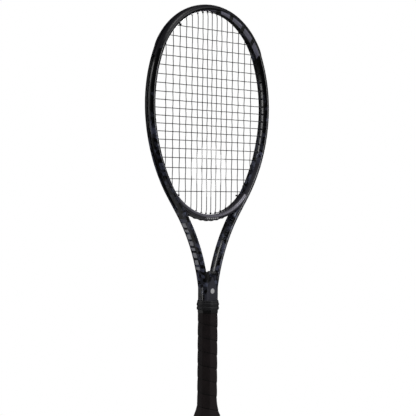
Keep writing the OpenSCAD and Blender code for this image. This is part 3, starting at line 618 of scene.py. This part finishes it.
def makeBumper():
    # A skin over the outer half of the tube, thinned towards each end, with the string
    # channel sunk along its middle.
    span = (halfHeadings <= bumper["endHeading"]) & (halfAlong <= hoopLength)
    points = np.vstack([halfPoints[span][:0:-1] * [-1, 1], halfPoints[span]])
    out = np.vstack([outward(halfHeadings[span])[:0:-1] * [-1, 1], outward(halfHeadings[span])])
    along = np.concatenate([-halfAlong[span][:0:-1], halfAlong[span]])
    end = along[-1]
    thick = hairpin["bumperThickness"] * (0.45 + 0.55 * smoothStep(end - np.abs(along), 0, 14))
    tips = smoothStep(end - np.abs(along), 0, 30)
    outerHalf = ovalRing(hairpin["tubeWidth"], hairpin["tubeDepth"], 40, bumper["channelHalf"])
    outerHalf = outerHalf[outerHalf[:, 0] > -0.2]
    lining = np.array([[bumper["stripTop"], bumper["channelHalf"]], [bumper["stripTop"], 0]])
    back = np.vstack([outerHalf, lining])
    ring = np.vstack([back * [1, -1], back[::-1][1:]])
    inner = np.array([[2.0, 9.0], [2.0, -9.0]])
    sections = np.repeat(ring[None], len(points), axis=0)
    normal = ring / np.linalg.norm(ring / [5.5, 10.5], axis=1)[:, None] / [5.5 ** 2, 10.5 ** 2]
    normal /= np.linalg.norm(normal, axis=1)[:, None]
    lift = np.where(np.abs(ring[:, 1]) < bumper["channelHalf"] + 0.01, 0, 1)
    lift = np.where((np.abs(ring[:, 1]) > bumper["channelHalf"] - 0.01) & (ring[:, 0] > 4.5), 1, lift)
    sections = sections + normal[None] * lift[None, :, None] * thick[:, None, None]
    narrow = 1 - 0.35 * (1 - tips)
    sections[..., 1] *= np.where(np.abs(sections[..., 1]) > 3, narrow[:, None], 1)
    sections = np.concatenate([sections, np.repeat(inner[None], len(points), axis=0)], axis=1)
    grid = sweep(points, out, sections)
    holes = [h for side in (-1, 1)
             for h in holeList("top", mainIds, side) + holeList("cross", range(4), side)]
    return makePiece("bumper", [(grid, "flat")] + barrelGrids(holes), bumperNylon,
                     ["bumper_guard"])


def stripGrid(points, out, low, high, half):
    # A flat strip between two distances from the line, with its outer corners cut.
    corner = 0.25
    section = np.array([
        [low, -half], [high - corner, -half], [high, -half + corner], [high, half - corner],
        [high - corner, half], [low, half]])
    return sweep(points, out, np.repeat(section[None], len(points), axis=0))


def makeSideStrip(side, name, node):
    # The strip in the groove from the bumper to just past the hoop, a rail along each edge,
    # and the barrels of its crosses, its two low mains and the corner main.
    span = (halfAlong <= hoopLength + 19) & (halfHeadings >= bumper["endHeading"] + 0.3)
    points, out = halfPoints[span] * [side, 1], outward(halfHeadings[span]) * [side, 1]
    grid = stripGrid(points, out, 3.12, bumper["stripTop"], 2.8)
    rails = [sweep(points, out, np.repeat(np.array(
        [[3.5, s * 2.8], [5.35, s * 2.8], [5.35, s * 2.0], [3.5, s * 2.0]])[None], len(points), axis=0))
        for s in (-1, 1)]
    holes = holeList("cross", range(4, 19), side) + holeList("low", [6, 7], side)
    holes += [(*bridgeHole(mainX[strings["cornerMain"]], tipU), side, strings["tieLane"])]
    grids = [(grid, "flat")] + [(rail, "flat") for rail in rails] + barrelGrids(holes)
    return makePiece(name, grids, grommetNylon, [node])


def makeThroatStrip():
    # The strip under the bridge, with a rounded bump over each string loop.
    points, out, along = bridgeLine(220, 37.0)
    across = bridgeHole(mainX[:5], 0)[0][:, 0]
    stations = np.concatenate([-across, across])
    x = points[:, 0]
    bump = np.exp(-((x[:, None] - stations[None]) / 3.4) ** 2).max(axis=1)
    fade = smoothStep(37.0 * math.radians(1) * bridge["radius"] - np.abs(along), 0, 6)
    high = 4.4 + (1.3 + 1.0 * bump) * fade
    base = np.array([[3.12, -2.7], [0, -2.5], [1, -1.6], [1, 1.6], [0, 2.5], [3.12, 2.7]])
    sections = np.repeat(base[None], len(points), axis=0)
    sections[:, 1:5, 0] = high[:, None] - np.array([0.7, 0, 0, 0.7])
    grid = sweep(points, out, sections)
    holes = [h for side in (-1, 1) for h in holeList("bridge", range(5), side)]
    return makePiece("throatStrip", [(grid, "flat")] + barrelGrids(holes), grommetNylon,
                     ["throat_grommet_strip"])


makeBumper()
makeSideStrip(-1, "leftStrip", "left_grommet_strip")
makeSideStrip(1, "rightStrip", "right_grommet_strip")
makeThroatStrip()


def tube(points, radius, facets=10):
    # A round tube along a path: each ring stands square to the path's direction there.
    along = np.gradient(points, axis=0)
    along /= np.linalg.norm(along, axis=1)[:, None]
    side = np.cross(along, [0, 1, 0])
    side /= np.linalg.norm(side, axis=1)[:, None]
    up = np.cross(side, along)
    angle = np.linspace(0, 2 * math.pi, facets, endpoint=False)
    return (points[:, None] + radius * (np.cos(angle)[None, :, None] * side[:, None]
                                        + np.sin(angle)[None, :, None] * up[:, None])) * mm


def weave(where, crossings, signs, height):
    # The string's height over the bed: a cosine wave that peaks at each crossing.
    place = np.interp(where, crossings, np.arange(len(crossings)))
    low = np.floor(place).astype(int).clip(0, len(crossings) - 2)
    share = (1 - np.cos((place - low) * math.pi)) / 2
    return height * (signs[low] * (1 - share) + signs[low + 1] * share)


def strung(start, end, startTip, endTip, axis, crossings, signs, lane, count=260):
    # Seat, barrel tip, woven part, barrel tip, seat: all points along one string.
    inside = startTip[None] + np.linspace(0, 1, count)[:, None] * (endTip - startTip)[None]
    where = inside[:, axis]
    order = np.argsort(crossings)
    wave = strings["crossWave" if axis == 0 else "mainWave"]
    y = weave(where, crossings[order], signs[order], wave)
    fade = np.minimum(*(smoothStep(np.abs(where - edge), 0, 6) for edge in where[[0, -1]]))
    y = lane * (1 - fade) + y * fade
    path = np.stack([inside[:, 0], y, inside[:, 1]], -1)
    ends = [np.array([[p[0], lane, p[1]]]) for p in (start, end)]
    return np.vstack([ends[0], path, ends[1]])


def makeStrings():
    # Mains run up and crosses run across, over and under in turn; short bends lie in the groove
    # outside the hoop where a string goes from one hole to the next.
    radius, seat = strings["diameter"] / 2, strings["seatU"]
    allX = np.concatenate([-mainX[::-1], mainX])
    mains, crosses = [], []
    for number, x in enumerate(allX):
        side, i = (-1 if x < 0 else 1), int(np.argmin(np.abs(mainX - abs(x))))
        turn = np.array([side, 1])
        top, topSeat = atHeading(topH[i], tipU) * turn, atHeading(topH[i], seat) * turn
        if i <= strings["cornerMain"]:
            low, lowSeat = (bridgeHole(mainX[i], u)[0] * turn for u in (tipU, seat))
        else:
            low, lowSeat = atHeading(lowH[i], tipU) * turn, atHeading(lowH[i], seat) * turn
        signs = np.where((np.arange(strings["crosses"]) + number) % 2 == 0, 1.0, -1.0)
        path = strung(lowSeat, topSeat, low, top, 1, crossZ, signs, strings["lane"])
        mains.append((tube(path, radius), "flat"))
    for number in range(strings["crosses"]):
        tip, seatPoint = atHeading(crossH[number], tipU), atHeading(crossH[number], seat)
        signs = np.where((np.arange(len(allX)) + number) % 2 == 0, -1.0, 1.0)
        path = strung(seatPoint * [-1, 1], seatPoint, tip * [-1, 1], tip, 0, allX, signs,
                      -strings["lane"])
        crosses.append((tube(path, radius), "flat"))
    for side in (-1, 1):
        turn = np.array([side, 1])
        for first in range(1, strings["crosses"] - 1, 2):
            pair = first if side > 0 else first - 1
            span = np.linspace(crossH[pair], crossH[pair + 1], 8)
            loop = atHeading(span, seat) * turn
            crosses.append((tube(np.insert(loop, 1, -strings["lane"], axis=1), radius), "flat"))
        for first in (1, 3, 5):
            span = np.linspace(topH[first], topH[first + 1], 8)
            loop = atHeading(span, seat) * turn
            mains.append((tube(np.insert(loop, 1, strings["lane"], axis=1), radius), "flat"))
    makePiece("mainString", mains, polyester, ["main_string"], sharp=80)
    makePiece("crossString", crosses, polyester, ["cross_string"], sharp=80)


makeStrings()


grip = {"width": 34.5, "depth": 30.5, "bevel": 9.3, "thickness": 1.8, "pitch": 22.8, "low": 9.05,
        "flare": 5.6, "flareTop": 38.0, "flareLow": 12.0, "corner": 2.0, "seamDepth": 0.8}


def handleOutline(inset, count=160, corner=None):
    # An octagon walked round at an even pace, its corners rounded by averaging over a
    # short length of its own outline.
    x, y = grip["width"] / 2 - inset, grip["depth"] / 2 - inset
    cut = grip["bevel"] - (2 - math.sqrt(2)) * inset
    corners = np.array([[x, cut - y], [x, y - cut], [x - cut, y], [cut - x, y], [-x, y - cut],
                        [-x, cut - y], [cut - x, -y], [x - cut, -y], [x, cut - y]])
    length = np.concatenate([[0], np.cumsum(np.linalg.norm(np.diff(corners, axis=0), axis=1))])
    fine = np.linspace(0, length[-1], count * 8, endpoint=False)
    points = np.stack([np.interp(fine, length, corners[:, k]) for k in (0, 1)], -1)
    reach = max(1, int((corner or grip["corner"]) / length[-1] * count * 8))
    kernel = np.ones(2 * reach + 1) / (2 * reach + 1)
    wrapped = np.vstack([points[-reach:], points, points[:reach]])
    points = np.stack([np.convolve(wrapped[:, k], kernel, mode="valid") for k in (0, 1)], -1)
    points = points[::8]
    ahead = np.roll(points, -1, axis=0) - np.roll(points, 1, axis=0)
    normal = np.stack([ahead[:, 1], -ahead[:, 0]], -1)
    return points, normal / np.linalg.norm(normal, axis=1)[:, None]


def flareOut(z):
    # How far the butt stands out at a height: an arc tangent to the handle, h^2 + f^2 over 2f.
    height = grip["flareTop"] - grip["flareLow"]
    radius = (height ** 2 + grip["flare"] ** 2) / (2 * grip["flare"])
    down = np.clip(grip["flareTop"] - z, 0, height)
    return radius - np.sqrt(radius ** 2 - down ** 2)


def makeGrip():
    # The strip winds up the handle: each turn swells a little between its edges, and its
    # lower edge laps over the turn below.
    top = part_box("base_grip")[1].z / mm
    z = np.arange(grip["low"], top, 0.42)
    points, normal = handleOutline(0)
    share = np.arange(len(points)) / len(points)
    phase = np.mod(z[:, None] / grip["pitch"] + share[None] + 0.19, 1)
    swell = np.sin(np.pi * phase) ** 0.3
    lap = smoothStep(phase, 0.0, 0.05) * (1 - phase)
    offset = flareOut(z)[:, None] - grip["seamDepth"] * (1 - swell) - 0.35 + 0.4 * lap
    xy = points[None] + normal[None] * offset[..., None]
    outer = np.concatenate([xy, np.broadcast_to(z[:, None, None], (*xy.shape[:2], 1))], -1)
    inZ = np.linspace(top, grip["low"], 12)
    inXy = points[None] + normal[None] * (flareOut(inZ) - grip["thickness"])[:, None, None]
    inner = np.concatenate([inXy, np.broadcast_to(inZ[:, None, None], (*inXy.shape[:2], 1))], -1)
    grid = np.concatenate([outer, inner]) * mm
    turns = np.concatenate([z, inZ, z[:1]]) / grip["pitch"]
    return makePiece("gripWrap", [(grid, "ring")], gripPolyurethane, ["base_grip"],
                     uvs=[(turns, share, 1.0)], sharp=60)


def makeCollar():
    # A stretched rubber sleeve: two ribs round it, and a lip turned in at the top.
    low, high = (corner.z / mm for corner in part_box("grip_collar"))
    share = np.array([0, 0.02, 0.1, 0.24, 0.3, 0.36, 0.42, 0.5, 0.62, 0.7, 0.76, 0.82, 0.9, 0.97, 1.0])
    out = np.array([0.6, 1.5, 1.9, 1.9, 1.5, 1.0, 1.4, 1.95, 1.95, 1.5, 1.0, 1.1, 0.9, 0.5, -0.4])
    fine = np.linspace(0, 1, 60)
    lift = np.interp(fine, share, out)
    z = low + fine * (high - low)
    points, normal = handleOutline(0, corner=3.5)
    xy = points[None] + normal[None] * lift[:, None, None]
    outer = np.concatenate([xy, np.broadcast_to(z[:, None, None], (*xy.shape[:2], 1))], -1)
    inZ = np.array([high, low])
    inXy = points[None] + normal[None] * np.array([-0.9, 0.35])[:, None, None]
    inner = np.concatenate([inXy, np.broadcast_to(inZ[:, None, None], (*inXy.shape[:2], 1))], -1)
    return makePiece("collar", [(np.concatenate([outer, inner]) * mm, "ring")], collarRubber,
                     ["grip_collar"], sharp=60)


makeGrip()
makeCollar()

nodeLooks = {
    "crotch_web": crotchPaint,
    "main_knots": polyester, "cross_knots": polyester, "front_pallet": rigidFoam,
    "back_pallet": rigidFoam, "shaft_plugs": rigidFoam, "underwrap": clothTape,
    "finishing_tape": vinylTape, "butt_cap": capNylon, "trap_door": capNylon,
    "cap_tacks": drawnSteel, "door_pin": drawnSteel,
}
for nodeName, nodeMaterial in nodeLooks.items():
    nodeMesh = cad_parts[nodeName].data
    nodeMesh.materials.clear()
    nodeMesh.materials.append(nodeMaterial)
print("nodes dressed")


studio = {"floorZ": -0.3, "floorRadius": 0.8, "cameraAt": (-1.4190, -1.4679, 0.3777),
          "azimuth": -44.0, "pitch": -0.689, "roll": 0.472, "lensMm": 107.7}


def makeFloor():
    # A pale round board, in rings that close flat at the middle and turn under at the rim.
    angle = np.linspace(0, 2 * math.pi, 96, endpoint=False)
    rings = np.array([0.02, 0.4, 0.8, 0.9, 1.0])[:, None] * studio["floorRadius"]
    grid = np.stack([rings * np.cos(angle), rings * np.sin(angle),
                     np.full((5, 96), studio["floorZ"])], -1)
    grid = np.concatenate([grid, grid[::-1] - [0, 0, 0.01]])
    verts, quads = surface([(grid, "ring")])[:2]
    mesh = bpy.data.meshes.new("floor")
    mesh.from_pydata(verts.tolist(), [], quads.tolist())
    floor = bpy.data.objects.new("floor", mesh)
    bpy.context.scene.collection.objects.link(floor)
    mesh.materials.append(simpleGrain("paintedBoard", "#e9e9e9", "#f4f4f4", 0.7, 0.9, 4.0))


def areaLight(name, azimuth, elevation, distance, size, power):
    # A rectangle of light at a bearing round the racket, facing its middle.
    a, e = math.radians(azimuth), math.radians(elevation)
    back = Vector((math.sin(a) * math.cos(e), -math.cos(a) * math.cos(e), math.sin(e)))
    light = bpy.data.lights.new(name, "AREA")
    light.shape, light.size, light.size_y, light.energy = "RECTANGLE", size[0], size[1], power
    lamp = bpy.data.objects.new(name, light)
    lamp.location = Vector((0, 0, 0.35)) + back * distance
    lamp.rotation_mode = "QUATERNION"
    lamp.rotation_quaternion = (-back).to_track_quat("-Z", "Y")
    bpy.context.scene.collection.objects.link(lamp)


def makeWorld():
    # White to the eye, and dimmer as a light, so that the blacks stay deep.
    world = bpy.data.worlds.new("studioWorld")
    world.use_nodes = True
    tree = world.node_tree
    tree.nodes.clear()
    seen = addNode(tree, "ShaderNodeLightPath").outputs["Is Camera Ray"]
    strength = addNode(tree, "ShaderNodeMapRange", {0: seen, 3: 0.02, 4: 1.0}).outputs[0]
    backdrop = addNode(tree, "ShaderNodeBackground", {"Color": (1, 1, 1, 1), "Strength": strength})
    addNode(tree, "ShaderNodeOutputWorld", {"Surface": backdrop.outputs[0]})
    bpy.context.scene.world = world
    bpy.context.scene.view_settings.view_transform = "Standard"


def makeCamera():
    # The camera looks along its azimuth and pitch, then rolls about that line.
    a, p, roll = (math.radians(studio[k]) for k in ("azimuth", "pitch", "roll"))
    forward = Vector((-math.sin(a) * math.cos(p), math.cos(a) * math.cos(p), math.sin(p)))
    right = Vector((math.cos(a), math.sin(a), 0))
    up = right.cross(forward)
    rolledRight = math.cos(roll) * right + math.sin(roll) * up
    rolledUp = -math.sin(roll) * right + math.cos(roll) * up
    lens = bpy.data.cameras.new("camera")
    lens.lens, lens.sensor_width = studio["lensMm"], 36.0
    camera = bpy.data.objects.new("camera", lens)
    turn = Matrix((rolledRight, rolledUp, -forward)).transposed().to_4x4()
    camera.matrix_world = Matrix.Translation(studio["cameraAt"]) @ turn
    bpy.context.scene.collection.objects.link(camera)
    bpy.context.scene.camera = camera


makeFloor()
areaLight("keyLight", 22, 18, 2.2, (0.5, 1.6), 16)
areaLight("sideLight", -128, 12, 2.0, (0.4, 1.6), 9)
areaLight("topLight", -20, 72, 2.0, (0.9, 0.9), 12)
areaLight("rimLight", 130, 15, 2.2, (0.4, 1.6), 10)
makeWorld()
makeCamera()
print("studio made")
